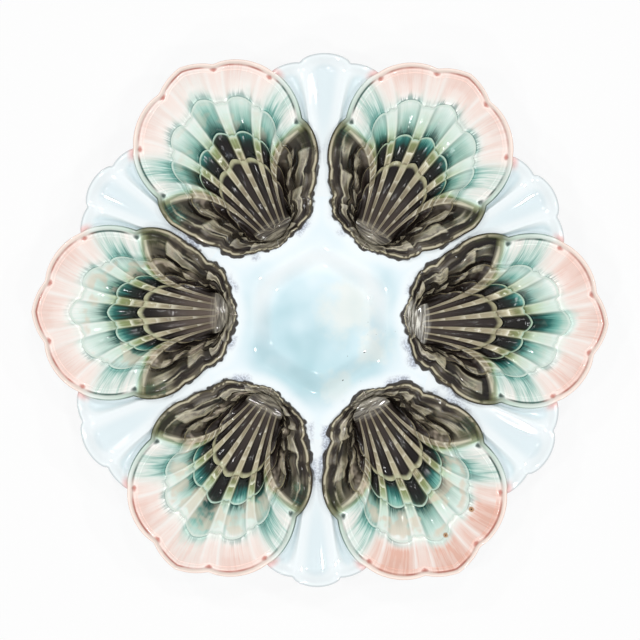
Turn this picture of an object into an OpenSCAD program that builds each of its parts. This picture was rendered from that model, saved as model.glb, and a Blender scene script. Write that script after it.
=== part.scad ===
// Oyster plate: six scallop-shell wells round a six-sided centre dish, with a fan between each pair.
// The origin is the centre of the foot ring's lower face, and the first shell points along +X.

/* [Plate] */
// Distance from the plate's centre to the hinge points that the shells are drawn from
hinge_r = 44.2; // [42:0.2:50]
// Thickness of the ware
wall = 4.2; // [3:0.1:6]
// Rise of the ground from the hinges to the tips of the shells
rim_rise = 5.5; // [2:0.1:8]
// Least width of the ground between two neighbouring shells
arm_w = 2.2; // [1.5:0.1:4]

/* [Shell wells] */
// Length of a shell from its hinge point to its tip
shell_l = 84.2; // [76:0.5:92]
// Length of the lip behind the hinge point
lip_l = 6.7; // [5:0.1:9]
// Depth of a shell's floor below the ground
well_depth = 12; // [8:0.5:18]
// Height of a shell's edge above the ground beside it
shell_stand = 2.4; // [1:0.1:4]
// Swell of each lobe beyond the line through its notches
lobe_swell = 3.6; // [2:0.1:5]
// Height of the ridges over the flutes between them
ridge_h = 1.5; // [0.5:0.1:2.5]
// Height of the edge where each growth layer ends
layer_h = 0.9; // [0.3:0.1:1.5]
// Depth that is pressed flat on each belly, where the foot ring carries it
belly_flat = 0.8; // [0.4:0.1:1.5]

/* [Centre dish] */
// Distance from the centre to the middle of each side of the dish
dish_r = 31; // [24:0.5:34]
// Depth of the dish's floor below the ground
dish_depth = 5.5; // [4:0.5:10]

/* [Rim fans] */
// Reach of a fan's middle lobe beyond the notches of the shells beside it
fan_reach = 7.8; // [5:0.1:12]
// Depth of the hollows in a fan
hollow_depth = 2.4; // [1:0.1:3.5]
// Depth of the notches between the lobes at a fan's edge
fan_notch = 4.1; // [1.5:0.1:5]
// Height of the raised edge of a fan
fan_edge_h = 1.1; // [0.4:0.1:2]

/* [Foot ring] */
// Height of the foot ring
foot_h = 3; // [2:0.1:6]
// Width of the foot ring's base
foot_w = 4.6; // [3:0.1:8]
// Narrowing of the foot ring's sides towards the table
foot_taper = 0.8; // [0.2:0.1:1.2]

/* [Hidden] */
shells = 6;

shell_pitch = 360 / shells;
// The shells were set by hand, so each hinge is a little aside, and each shell leans a little.
hinge_swings = [2.4, -0.7, -0.7, -3.3, -4.2, 1.0];
shell_leans = [-2.6, -2.0, -0.9, -0.8, 1.8, -2.4];

// One shell's outline: rib coordinate, turn from the axis, reach of the notch line as a share.
// The flutes lie on whole rib coordinates, the ridges and the notches halfway, the ears past 3.5.
outline_shares = [
    [0, 0, 0.957],
    [0.5, 10, 0.932],
    [1.5, 29.7, 0.842],
    [2.5, 44, 0.622],
    [3.5, 64, 0.415],
    [4, 76, 0.285],
    [4.5, 90, 0.238],
    [5, 104, 0.150],
    [5.5, 120, 0.098],
    [6, 148, 0.082],
    [6.5, 180, 0.079]
];
rib_end = 3.5;
// Each notch of a shell's edge is filled by this share, so that the lobes meet in a soft pinch.
notch_fill_share = 0.012;
neck_rib = 4;
back_rib = 6.5;
fan_rib = 1.5;
rib_step = 0.25;
ear_step = 0.25;
// Past the last flute the folds of the ears crowd together by this share.
ear_crowd_share = 1 / 3;
// The ribs leave the hinge in a narrower bunch than they reach the edge. They start on a short line
// ahead of the hinge point, a little to one side, and the bunch closes behind it.
bunch_share = 0.53;
bunch_ahead_share = 0.039;
bunch_back_share = 0.025;
bunch_pitch_share = 0.031;
bunch_sides_shares = [-0.043, -0.004, -0.023, -0.007, 0.014, -0.011];
bunch_power = 1.6;
columns = [
    for (u = [-back_rib + ear_step : ear_step : -neck_rib - ear_step]) u,
    for (u = [-neck_rib : rib_step : neck_rib]) u,
    for (u = [neck_rib + ear_step : ear_step : back_rib]) u
];

// The deepest place of a shell, the lift of its hinge, and its rows from the hinge to the edge.
// Each row is a share of the reach and how far the layer there has risen towards its step.
belly_share = 0.36;
hinge_lift_share = 0.46;
well_rows_shares = [
    [0, 0], [0.06, 0], [0.18, 0.15], [0.31, 0.45], [0.445, 1], [0.46, 0], [0.61, 1], [0.625, 0],
    [0.715, 0.5], [0.805, 1], [0.82, 0], [0.90, 0.3], [0.96, 0.5], [1, 0.5]
];
belly_rows_shares = [1, 0.88, 0.74, 0.58, 0.42, 0.27, 0.12, 0];
lip_stand_share = 0.4;
// The floor gives way to the flat ears between these turns from the shell's axis.
ear_from = 34;
ear_to = 74;
// The well's wall steepens towards the edge by this power of the way out.
wall_power = 2.3;
// Shares of the reach over which the ridges start, grow to their full size and fade, and over which
// the layers fade.
ridge_start_share = 0.05;
ridge_growth_share = 0.5;
ridge_end_share = 0.12;
layer_end_share = 0.125;
// Size of the ridges where they start, their size on the ears, and the share sunk below the surface.
ridge_first_share = 0.55;
ridge_ear_share = 0.6;
ridge_sunk_share = 0.6;
// An edge that closes on the arm beside it more slowly than this never meets it.
least_closing_share = 0.05;
// Share by which a shell's shift at the neck follows its hinge, and its lean for the rest.
neck_swing_share = 0.64;

// Rows of the dish out to its core's edge, then from there into the arms.
dish_rows_shares = [0.33, 0.6, 0.72, 0.83, 1];
arm_rows_shares = [0.35, 0.7, 1];
dish_floor_share = 0.68;
dish_core_share = 0.92;
mouth_rib = 5;
// Across an arm's mouth, the core's points run to this share of the way from each side.
mouth_reach_share = 5 / 11;
fan_columns = 12;
fan_outer_rows = 4;
fan_hollows = 3;
fan_notches_share = 0.275;
hollow_deepest_share = 0.72;
hollow_end_power = 0.7;
fan_edge_share = 0.2;
fan_corner_share = 0.25;
// The side lobes swell less than the middle one, and the notches' line climbs to them by this power.
fan_side_lobe_share = 0.3;
fan_fill_power = 0.8;
// Each hollow has as many columns, so the ridges run from thirds of the neck to the edge's notches.
fan_column_shares = [
    [0, 0],
    [1 / fan_hollows, fan_notches_share],
    [1 - 1 / fan_hollows, 1 - fan_notches_share],
    [1, 1]
];

// Heights that the pieces share, from the table up.
floor_z = foot_h + wall;
ground_z = floor_z + well_depth;
dish_z = ground_z - dish_depth;
hinge_z = mix(ground_z + shell_stand * lip_stand_share, floor_z, hinge_lift_share);
foot_r = hinge_r + belly_share * shell_l;

function turned(r, angle) = [r * cos(angle), r * sin(angle)];
function mix(a, b, t) = a + (b - a) * t;
function clamp(t) = min(1, max(0, t));
function smooth(t) = clamp(t) * clamp(t) * (3 - 2 * clamp(t));
function item(list, k) = list[(k + shells) % shells];
function column_value(list, u, column) = lookup(abs(u), [for (row = list) [row[0], row[column]]]);

// Height of the ground and of its underside at a distance from the plate's centre.
function ground_rise(r) = rim_rise * pow(max(0, (r - hinge_r) / shell_l), 2);
function ground_top(r) = ground_z + ground_rise(r);
function ground_under(r) = ground_top(r) - wall;

// Plan of the shells, with k counted from 0.
function hinge_at(k) = turned(hinge_r, k * shell_pitch + item(hinge_swings, k));
function shell_axis(k) = k * shell_pitch + item(shell_leans, k);
function neck_shift(k) = mix(item(shell_leans, k), item(hinge_swings, k), neck_swing_share);
function arm_axis(k) = (k + 0.5) * shell_pitch + (neck_shift(k) + neck_shift(k + 1)) / 2;
function rib_swell(u) =
    abs(u) < rib_end ? lobe_swell * sqrt(sqrt(pow(cos(180 * u), 2) + notch_fill_share)) : 0;
function free_reach(u) = column_value(outline_shares, u, 2) * shell_l + rib_swell(u);
function arm_limit(k, u) =
    let (
        side = u < 0 ? k - 1 : k,
        across = arm_axis(side) + (u < 0 ? -90 : 90),
        out = [cos(across), sin(across)],
        way = turned(1, shell_axis(k) + edge_turn(u)),
        closing = way * out
    )
    closing > least_closing_share ? (-arm_w / 2 - hinge_at(k) * out) / closing : shell_l + lobe_swell;
function reach(k, u) =
    abs(u) > back_rib - ear_step ? lip_l : min(free_reach(u), arm_limit(k, u));
function edge_turn(u) = sign(u) * column_value(outline_shares, u, 1);
function rib_turn(u, f) =
    let (
        edge = column_value(outline_shares, u, 1),
        last = column_value(outline_shares, rib_end, 1),
        bunch = bunch_share + (1 - bunch_share) * pow(f, 3)
    )
    sign(u) * (edge <= last
        ? edge * bunch
        : mix(last * bunch, 180, (edge - last) / (180 - last)));
function rib_start(k, u) =
    let (
        back = 90 * clamp((abs(u) - rib_end) / (back_rib - rib_end)),
        across = sign(u) * bunch_pitch_share * (abs(u) < rib_end ? abs(u) : rib_end * cos(back)),
        ahead = bunch_ahead_share - (bunch_ahead_share + bunch_back_share) * sin(back)
    )
    turned(ahead * shell_l, shell_axis(k))
    + turned((across + item(bunch_sides_shares, k)) * shell_l, shell_axis(k) + 90);
function shell_plan(k, u, f) =
    hinge_at(k) + rib_start(k, u) * pow(clamp(1 - f), bunch_power)
    + turned(f * reach(k, u), shell_axis(k) + rib_turn(u, f));
function bunch_middle(k) =
    hinge_at(k) + turned(item(bunch_sides_shares, k) * shell_l, shell_axis(k) + 90);

// Height of a hollow that leaves the hinge, dips to its floor and climbs to its edge.
function level(u, f, edge, low, start) =
    let (
        inner = mix(low, start, pow(clamp(1 - f / belly_share), 2)),
        outer = mix(low, edge, pow(clamp((f - belly_share) / (1 - belly_share)), wall_power)),
        ear = smooth((abs(rib_turn(u, f)) - ear_from) / (ear_to - ear_from))
    )
    mix(f < belly_share ? inner : outer, mix(start, edge, f), ear);
function stand(u) =
    shell_stand * mix(1, lip_stand_share, smooth((abs(u) - neck_rib) / (back_rib - neck_rib)));
function edge_top(k, u) = ground_top(norm(shell_plan(k, u, 1))) + stand(u);
function edge_under(k, u) =
    ground_under(norm(shell_plan(k, u, 1))) + shell_stand * clamp(1 - abs(u) / fan_rib);
function ridge(u, f) =
    let (
        far = max(0, abs(u) - rib_end),
        wave = 0.5 - cos(360 * (abs(u) + ear_crowd_share * far)) / 2,
        size = mix(ridge_first_share, 1, smooth(f / ridge_growth_share)),
        ear = mix(1, ridge_ear_share, clamp(far)) * clamp(back_rib - ear_step - abs(u))
    )
    ridge_h * (wave - ridge_sunk_share) * size * ear * smooth(f / ridge_start_share)
        * clamp((1 - f) / ridge_end_share);
function shell_top(k, u, f, rise) =
    level(u, f, edge_top(k, u), floor_z, hinge_z) + ridge(u, f)
    + layer_h * rise * clamp((1 - f) / layer_end_share) * clamp(rib_end + 1 - abs(u));
function shell_under(k, u, f) =
    max(foot_h, level(u, f, edge_under(k, u), foot_h - belly_flat, hinge_z - wall));
function at_height(plan, z) = [plan[0], plan[1], z];

// A closed skin over rings of as many points each, from the middle of the top to that below.
module skin(rings, top_point, under_point) {
    n = len(rings[0]);
    last = 1 + (len(rings) - 1) * n;
    end = last + n;
    function at(i, j) = 1 + i * n + j % n;
    polyhedron(
        points = concat([top_point], [for (ring = rings) each ring], [under_point]),
        faces = concat(
            [for (j = [0 : n - 1]) [0, at(0, j + 1), at(0, j)]],
            [for (i = [0 : len(rings) - 2]) for (j = [0 : n - 1])
                each [[at(i, j), at(i, j + 1), at(i + 1, j + 1)],
                    [at(i, j), at(i + 1, j + 1), at(i + 1, j)]]],
            [for (j = [0 : n - 1]) [end, last + j, last + (j + 1) % n]]
        )
    );
}

// A slab between two grids of points with the same plan.
module slab(tops, unders) {
    rows = len(tops);
    n = len(tops[0]);
    under = rows * n;
    function top_at(i, j) = i * n + j;
    function under_at(i, j) = under + i * n + j;
    function wall_faces(a, b, c, d) = [[a, b, c], [a, c, d]];
    polyhedron(
        points = concat([for (row = tops) each row], [for (row = unders) each row]),
        faces = concat(
            [for (i = [0 : rows - 2]) for (j = [0 : n - 2])
                each wall_faces(top_at(i, j), top_at(i, j + 1), top_at(i + 1, j + 1), top_at(i + 1, j))],
            [for (i = [0 : rows - 2]) for (j = [0 : n - 2])
                each wall_faces(
                    under_at(i, j), under_at(i + 1, j), under_at(i + 1, j + 1), under_at(i, j + 1))],
            [for (i = [0 : rows - 2])
                each wall_faces(top_at(i, 0), top_at(i + 1, 0), under_at(i + 1, 0), under_at(i, 0))],
            [for (i = [0 : rows - 2])
                each wall_faces(
                    top_at(i, n - 1), under_at(i, n - 1), under_at(i + 1, n - 1), top_at(i + 1, n - 1))],
            [for (j = [0 : n - 2])
                each wall_faces(top_at(0, j), under_at(0, j), under_at(0, j + 1), top_at(0, j + 1))],
            [for (j = [0 : n - 2])
                each wall_faces(
                    top_at(rows - 1, j), top_at(rows - 1, j + 1),
                    under_at(rows - 1, j + 1), under_at(rows - 1, j))]
        )
    );
}

module shell_well(number) {
    k = number - 1;
    tops = [for (row = well_rows_shares) [for (u = columns)
        at_height(shell_plan(k, u, row[0]), shell_top(k, u, row[0], row[1]))]];
    unders = [for (f = belly_rows_shares) [for (u = columns)
        at_height(shell_plan(k, u, f), shell_under(k, u, f))]];
    color("mediumaquamarine")
        skin(
            concat(tops, unders),
            at_height(bunch_middle(k), shell_top(k, 0, 0, 0)),
            at_height(bunch_middle(k), shell_under(k, 0, 0))
        );
}

// Plan and height of the centre dish. Its edge runs behind the hinges and across the arms. Each edge
// point has a core point, which on the arms lies across their mouth.
function dish_column(k, u) =
    let (
        edge = shell_plan(k, u, 1),
        mouth = shell_plan(k, sign(u) * mouth_rib, 1),
        next_mouth = shell_plan(k + sign(u), -sign(u) * mouth_rib, 1),
        across = mouth_reach_share * (mouth_rib - abs(u)) / (mouth_rib - neck_rib)
    )
    [dish_core_share * (abs(u) < mouth_rib ? mix(mouth, next_mouth, across) : edge), edge];
function dish_columns() = [
    for (k = [0 : shells - 1]) each concat(
        [for (u = [neck_rib : ear_step : back_rib - ear_step]) dish_column(k, -u)],
        [for (u = [back_rib : -ear_step : neck_rib]) dish_column(k, u)]
    )
];
function dish_rings() = let (columns = dish_columns()) concat(
    [for (f = dish_rows_shares) [for (pair = columns) pair[0] * f]],
    [for (t = arm_rows_shares) [for (pair = columns) mix(pair[0], pair[1], t)]]
);
function dish_side(p) = max([for (k = [0 : shells - 1]) p * turned(1, k * shell_pitch)]);
function dish_fall(p) =
    dish_depth * (1 - smooth((dish_side(p) / dish_r - dish_floor_share) / (1 - dish_floor_share)));
function dish_top(p) = ground_top(norm(p)) - dish_fall(p);

module centre_dish() {
    rings = dish_rings();
    tops = [for (ring = rings) [for (p = ring) at_height(p, dish_top(p))]];
    unders = [for (i = [len(rings) - 1 : -1 : 0]) [for (p = rings[i]) at_height(p, dish_top(p) - wall)]];
    color("lightcyan")
        skin(concat(tops, unders), [0, 0, dish_z], [0, 0, dish_z - wall]);
}

// Radius of the fans' outer lobes, beyond the notches of a shell that neither swings nor leans.
notch_reach = column_value(outline_shares, fan_rib, 2) * shell_l;
fan_r = norm([hinge_r, 0] + turned(notch_reach, column_value(outline_shares, fan_rib, 1))) + fan_reach;

// Plan of a fan: rows between the two shells out to their notches, then rows out to its own edge.
function fan_row(k, u, s) =
    let (left = shell_plan(k, u, 1), right = shell_plan(k + 1, -u, 1))
    [for (j = [0 : fan_columns]) let (even = j / fan_columns)
        mix(left, right, mix(even, lookup(even, fan_column_shares), s))];
function fan_aside(t) = clamp(min(t, 1 - t) / fan_notches_share);
function fan_lobe(t) = fan_aside(t) < 1
    ? fan_side_lobe_share * sqrt(sin(180 * fan_aside(t)))
    : sqrt(sin(180 * clamp((t - fan_notches_share) / (1 - 2 * fan_notches_share))));
function fan_edge(k) =
    let (start = fan_row(k, fan_rib, 1), left = norm(start[0]), right = norm(start[fan_columns]))
    [for (j = [0 : fan_columns]) let (
        t = lookup(j / fan_columns, fan_column_shares),
        corner = mix(left, right, t) + lobe_swell * fan_corner_share,
        notches = mix(corner, fan_r - fan_notch, pow(fan_aside(t), fan_fill_power))
    ) start[j] / norm(start[j]) * (notches + fan_notch * fan_lobe(t))];
function fan_hollow(s, t) =
    pow(sin(90 * clamp(s / hollow_deepest_share)), 2)
    * pow(clamp((1 - s) / (1 - hollow_deepest_share)), hollow_end_power)
    * (0.5 + cos(360 * fan_hollows * (t - 0.5)) / 2);
function fan_top(p, s, t) =
    ground_top(norm(p)) - hollow_depth * fan_hollow(s, t)
    + fan_edge_h * smooth((s - 1 + fan_edge_share) / fan_edge_share);

module rim_fan(number) {
    k = number - 1;
    inner_rows = (neck_rib - fan_rib) / rib_step;
    last = inner_rows + fan_outer_rows;
    inner = [for (i = [0 : inner_rows]) fan_row(k, neck_rib - i * rib_step, i / last)];
    start = inner[inner_rows];
    edge = fan_edge(k);
    outer = [for (i = [1 : fan_outer_rows]) [for (j = [0 : fan_columns])
        mix(start[j], edge[j], i / fan_outer_rows)]];
    plan = concat(inner, outer);
    tops = [for (i = [0 : last]) [for (j = [0 : fan_columns])
        at_height(plan[i][j], fan_top(plan[i][j], i / last, j / fan_columns))]];
    unders = [for (row = plan) [for (p = row) at_height(p, ground_under(norm(p)))]];
    color("paleturquoise")
        slab(tops, unders);
}

module foot_ring() {
    color("ivory")
        rotate_extrude($fn = 120)
            polygon([
                [foot_r - foot_w / 2 + foot_taper / 2, 0],
                [foot_r + foot_w / 2 - foot_taper / 2, 0],
                [foot_r + foot_w / 2, foot_h],
                [foot_r - foot_w / 2, foot_h]
            ]);
}

centre_dish();
foot_ring();
for (k = [1 : shells]) {
    shell_well(k);
    rim_fan(k);
}
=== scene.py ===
import math

import bpy
import numpy as np
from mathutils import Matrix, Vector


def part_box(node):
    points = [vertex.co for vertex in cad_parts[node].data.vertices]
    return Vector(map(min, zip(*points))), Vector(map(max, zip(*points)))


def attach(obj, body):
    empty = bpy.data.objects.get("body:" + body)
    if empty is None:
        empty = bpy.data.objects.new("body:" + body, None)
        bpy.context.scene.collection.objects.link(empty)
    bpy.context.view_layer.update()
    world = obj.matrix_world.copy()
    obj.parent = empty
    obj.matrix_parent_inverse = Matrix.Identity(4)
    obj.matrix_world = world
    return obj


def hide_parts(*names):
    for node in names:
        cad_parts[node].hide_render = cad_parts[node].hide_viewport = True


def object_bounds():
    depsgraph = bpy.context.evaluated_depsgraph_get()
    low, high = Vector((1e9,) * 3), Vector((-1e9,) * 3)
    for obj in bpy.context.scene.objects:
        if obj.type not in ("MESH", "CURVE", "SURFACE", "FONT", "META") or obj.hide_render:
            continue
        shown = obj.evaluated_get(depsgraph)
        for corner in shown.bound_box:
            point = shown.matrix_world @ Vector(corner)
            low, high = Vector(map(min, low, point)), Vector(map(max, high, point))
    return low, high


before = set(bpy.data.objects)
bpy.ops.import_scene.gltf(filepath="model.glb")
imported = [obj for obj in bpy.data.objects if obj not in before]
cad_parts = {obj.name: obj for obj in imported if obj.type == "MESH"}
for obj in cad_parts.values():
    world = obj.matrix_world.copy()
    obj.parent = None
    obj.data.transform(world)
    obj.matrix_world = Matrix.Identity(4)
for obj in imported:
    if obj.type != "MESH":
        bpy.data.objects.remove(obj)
cad_low, cad_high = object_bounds()

# Shell wells
# Six scallop shells, pressed from one mould and set by hand into the clay plate, so each hinge sits
# a little aside and each shell leans a little. Three growth layers overlap towards the hinge, and
# raised ribs run out between wide hollow flutes. At the sides the ribs crowd into folded ears.
shells = 6
pitch = 360 / shells
hinge_swings = [2.4, -0.7, -0.7, -3.3, -4.2, 1.0]
shell_leans = [-2.6, -2.0, -0.9, -0.8, 1.8, -2.4]
# Where the ribs start, beside each shell's hinge point.
bunch_sides = [-0.0036, -0.0003, -0.0019, -0.0006, 0.0012, -0.0009]
bunch_ahead = 0.0033
bunch_back = 0.0021
bunch_pitch = 0.0026
bunch_power = 1.6
foot_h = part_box("foot_ring")[1][2]
hinge_r = 0.0442
wall = 0.0042
rim_rise = 0.0055
arm_w = 0.0022
shell_l = 0.0842
lobe_swell = 0.0036
notch_fill = 0.012
shell_stand = 0.0024
lip_stand = 0.4
belly_flat = 0.0008
floor_z = foot_h + wall
ground_z = floor_z + 0.012
belly_share = 0.36
hinge_lift = 0.46
wall_power = 2.3
bunch_share = 0.53
rib_end, neck_rib, mouth_rib, back_rib, fan_rib = 3.5, 4.0, 5.0, 6.5, 1.5
hinge_z = ground_z + shell_stand * lip_stand
hinge_z -= (hinge_z - floor_z) * hinge_lift
# Rib coordinate, turn from the axis in degrees, and reach of the line through the notches.
outline_shares = np.array([
    [0, 0, 0.957], [0.5, 10, 0.932], [1.5, 29.7, 0.842], [2.5, 44, 0.622], [3.5, 64, 0.415],
    [4, 76, 0.285], [4.5, 90, 0.238], [5, 104, 0.150], [5.5, 120, 0.098], [6, 148, 0.082],
    [6.5, 180, 0.079],
])
# Where the three growth layers end, as shares of the way to the edge band, and that band's width.
layer_ends = [0.475, 0.650, 0.856]
edge_band = 0.0040
layer_step = 0.0011
ear_ruffle = 0.0009
# Width in mm of the smooth band along an ear's edge, by rib coordinate, and the rows of blocks
# inside it: how far in each row lies, how many blocks it has to a rib coordinate, and how wide
# they are. The outer row's blocks are long, like folds.
ear_bands = [2.7, 3.3, 3.75, 4.35, 5.5, 6.5], [3.2, 4.0, 4.6, 3.4, 1.6, 1.2]
ear_rows = [(0.0018, 1.2, 0.0021), (0.0076, 2.5, 0.0017)]
ear_row_wander = 0.0008
ear_block_h, ear_band_h, ear_sink = 0.0015, 0.0006, 0.0005
ear_band_inset, ear_band_share = 0.0012, 0.8
ear_swell_h, ear_swell_mm = 0.0007, 4.5
ear_grit_h, ear_grit_mm = 0.00015, 1.6
# Rib coordinates where the ribs end, and where the ears and the lip behind the hinge start.
ribs_end, ribs_fade = 3.2, 0.5
ears_start, ears_fade = 2.75, 0.4
lip_start, lip_fade = 5.2, 0.7
# Half a rib's width by growth layer, and the broad outermost rib with its boxes to a layer.
rib_half_shares = [0, 0.3, 1, 2, 3, 4], [0.13, 0.16, 0.20, 0.19, 0.20, 0.20]
outermost_rib, outermost_w, outermost_half_share = 2.5, 0.4, 0.27
boxes_each = 2.4
# How far the scallops of a layer's end reach in, on the ears and among the ribs.
scallop_shares = 0.04, 0.078
# The relief of the flutes, the ribs with their pale tiles, and the ends of the growth layers.
flute_depth, rib_h, rib_crown_h, tile_h = 0.0010, 0.0005, 0.0002, 0.0004
layer_bead_h, layer_foot_depth = 0.00028, 0.00035
thread_h, thread_pitch_mm = 0.00024, 1.3
# The rolled edge: its bead, the groove inside the bead, the pits at the notches, and its fall.
bead_inset, bead_wander, bead_half, bead_h = 0.0009, 0.0002, 0.0007, 0.0003
groove_gap, groove_half, groove_depth = 0.0012, 0.0005, 0.0004
pit_inset, pit_half, pit_depth = 0.0024, 0.0011, 0.0006
edge_drop, edge_round = 0.0012, 0.0007
under_rib_h, under_edge_h = 0.0004, 0.0008
sharp_from = math.radians(62)


def mix(a, b, t):
    return a + (b - a) * t


def ease(t):
    t = np.clip(t, 0, 1)
    return t * t * (3 - 2 * t)


def hump(x, middle, width):
    return np.exp(-(((x - middle) / width) ** 2))


def rounding(inset, depth, width):
    """How far an edge that is rounded over a width falls, at a distance in from it."""
    return depth * (1 - np.sqrt(1 - np.clip(1 - inset / width, 0, 1) ** 2))


def turned(r, angle):
    angle = np.radians(angle)
    return np.stack([r * np.cos(angle), r * np.sin(angle)], axis=-1)


def mottle(x, y, seed, cells=64):
    """Smooth seeded noise from -1 to 1 with a feature size of about one unit."""
    table = np.random.default_rng(seed).uniform(-1, 1, (cells, cells))
    i, j = np.floor(x).astype(int), np.floor(y).astype(int)
    s, t = ease(x - i), ease(y - j)

    def at(a, b):
        return table[a % cells, b % cells]

    return mix(mix(at(i, j), at(i + 1, j), s), mix(at(i, j + 1), at(i + 1, j + 1), s), t)


def ground_top(r):
    rise = np.maximum(0, (r - hinge_r) / shell_l) ** 2
    return ground_z + rim_rise * rise


def hinge_at(k):
    return turned(hinge_r, k * pitch + hinge_swings[k % shells])


def shell_axis(k):
    return k * pitch + shell_leans[k % shells]


def arm_axis(k):
    neck_shift = [mix(shell_leans[i % shells], hinge_swings[i % shells], 0.64) for i in (k, k + 1)]
    return (k + 0.5) * pitch + sum(neck_shift) / 2


def outline(u, column):
    return np.interp(np.abs(u), outline_shares[:, 0], outline_shares[:, column])


def reach(k, u):
    """Distance from the hinge to the shell's edge at a rib coordinate."""
    side = np.abs(u)
    swell = lobe_swell * np.sqrt(np.sqrt(np.cos(np.pi * u) ** 2 + notch_fill))
    swell = swell * (1 - ease((side - rib_end + 0.1) / 0.1))
    ruffle = ear_ruffle * np.abs(np.sin(2 * np.pi * (side - rib_end) * 1.1))
    ruffle = np.where(side < rib_end, 0, ruffle * np.clip((back_rib - side) / 1.2, 0.25, 1))
    free = outline(u, 2) * shell_l + swell + ruffle
    hinge = hinge_at(k)
    way = turned(1, shell_axis(k) + np.sign(u) * outline(u, 1))
    limit = np.full(np.shape(free), 1.0)
    for arm, turn in ((k - 1, -90), (k, 90)):
        out = turned(1, arm_axis(arm) + turn)
        closing = way @ out
        room = (-arm_w / 2 - hinge @ out) / np.where(closing > 0.05, closing, 1)
        limit = np.where((closing > 0.05) & (np.sign(u) == np.sign(turn)), room, limit)
    return np.minimum(free, limit)


def rib_turn(u, f):
    last = outline(rib_end, 1)
    edge = outline(u, 1)
    bunch = bunch_share + (1 - bunch_share) * f**3
    ear = mix(last * bunch, 180, (edge - last) / (180 - last))
    return np.sign(u) * np.where(edge <= last, edge * bunch, ear)


def rib_start(k, u):
    """Where a rib starts: on a short line ahead of the hinge, which closes behind it."""
    side = np.abs(u)
    back = np.radians(90 * np.clip((side - rib_end) / (back_rib - rib_end), 0, 1))
    across = np.sign(u) * bunch_pitch * np.where(side < rib_end, side, rib_end * np.cos(back))
    ahead = bunch_ahead - (bunch_ahead + bunch_back) * np.sin(back)
    axis = shell_axis(k)
    side_way = across + bunch_sides[k % shells]
    return ahead[..., None] * turned(1, axis) + side_way[..., None] * turned(1, axis + 90)


def shell_plan(k, u, f):
    u, f = np.broadcast_arrays(u, f)
    start = rib_start(k, u) * (np.clip(1 - f, 0, 1) ** bunch_power)[..., None]
    return hinge_at(k) + start + turned(f * reach(k, u), shell_axis(k) + rib_turn(u, f))


def ear_share(u, f):
    return ease((np.abs(rib_turn(u, f)) - 34) / 40)


def edge_level(k, u):
    return ground_top(np.linalg.norm(shell_plan(k, u, 1.0), axis=-1))


def ribbed_share(u):
    """1 among the ribs, fading to 0 where the ears begin."""
    return 1 - ease((np.abs(u) - ribs_end) / ribs_fade)


def shell_rise(u):
    return shell_stand * mix(1, lip_stand, ease((np.abs(u) - neck_rib) / (back_rib - neck_rib)))


def quads(rows, columns, first=0, closed=False):
    """Faces between rows of points, numbered from the first. Closed rows run round in a ring."""
    i, j = np.meshgrid(np.arange(rows - 1), np.arange(columns - (not closed)), indexing="ij")
    a, b = first + i * columns + j, first + i * columns + (j + 1) % columns
    return np.stack([a, a + columns, b + columns, b], axis=-1).reshape(-1, 4)


def smoothed(mesh):
    mesh.shade_smooth()
    mesh.set_sharp_from_angle(angle=sharp_from)


def new_piece(name, points, faces, marks):
    """A smooth mesh piece with one number at each point for each mark."""
    mesh = bpy.data.meshes.new(name)
    mesh.from_pydata(points, [], faces)
    smoothed(mesh)
    for mark, values in marks.items():
        layer = mesh.attributes.new(mark, "FLOAT", "POINT")
        layer.data.foreach_set("value", np.asarray(values, dtype=np.float32).ravel())
    piece = bpy.data.objects.new(name, mesh)
    bpy.context.scene.collection.objects.link(piece)
    return piece


# Rows of points along the ribs: inside the bunch, then close together where a growth layer ends.
bunch_rows = np.linspace(-0.92, -0.08, 12)
layer_rows = np.concatenate([
    np.linspace(0.0, 0.9, 36), np.linspace(0.92, 1.0, 5),
    *[np.concatenate([b + np.linspace(0.012, 0.12, 8), b + np.linspace(0.16, 0.9, 13),
                      b + np.linspace(0.92, 1.0, 5)]) for b in (1, 2, 3)],
])
band_rows = np.concatenate([np.linspace(0.04, 0.8, 17), np.linspace(0.84, 1, 7)])
shell_columns = np.concatenate([
    np.arange(-back_rib + 0.04, -3.75, 0.04), np.arange(-3.75, 3.751, 0.05),
    np.arange(3.75 + 0.04, back_rib + 0.001, 0.04),
])
# The ribs' pale tiles end here, counted in growth layers from the hinge.
tile_ends = [0.30, 0.60, 0.80, 1.0, 1.5, 2.0]


def ear_folds(k, u, v, edge):
    """Two rows of blocks along each ear's edge, stepped like the ribs, and a smooth band outside."""
    side = np.abs(u)
    band_end = np.interp(side, *ear_bands) * (1 + 0.22 * mottle(u * 1.6 + 7, 0 * v + 3, 21 + k)) / 1000
    wander = ear_row_wander * mottle(u * 1.3 + 20, v * 1.3 + 20, 11 + k)
    blocks, tiles, foot, keen_and_highlight = [np.zeros_like(v) for _ in range(4)]
    for row, (row_at, blocks_each, block_width) in enumerate(ear_rows):
        count = side * blocks_each + 0.4 * row
        count += 0.5 * mottle(side * 0.8 + 4 * row, 0 * v + 2 + np.sign(u), 31 + k)
        rise = (1 - count % 1) ** 1.5
        row_middle = band_end + row_at + wander
        from_row = np.abs(edge - row_middle) / (block_width * mix(0.45, 1.15, rise))
        block = 1 - ease((from_row - 0.75) / 0.5)
        tiles = np.maximum(tiles, rise * block)
        # The dark line at each block's foot: partly pooled glaze, partly painted shade.
        foot = np.maximum(foot, hump(from_row, 1.45, 0.4))
        # A pale crest line on each block, partly painted highlight, brighter on the side away from the
        # ear's edge.
        crest = hump(from_row, 0.8, 0.20) * mix(0.5, 1, edge > row_middle) * ease(rise / 0.4)
        keen_and_highlight = np.maximum(keen_and_highlight, crest)
        blocks = np.maximum(blocks, block * mix(0.35, 1, ease(rise / 0.5)))
    foot *= 1 - blocks
    band = ease((edge - ear_band_inset) / 0.0006) * ease((band_end * ear_band_share - edge) / 0.0008)
    return blocks, tiles, foot, keen_and_highlight, band


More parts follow.
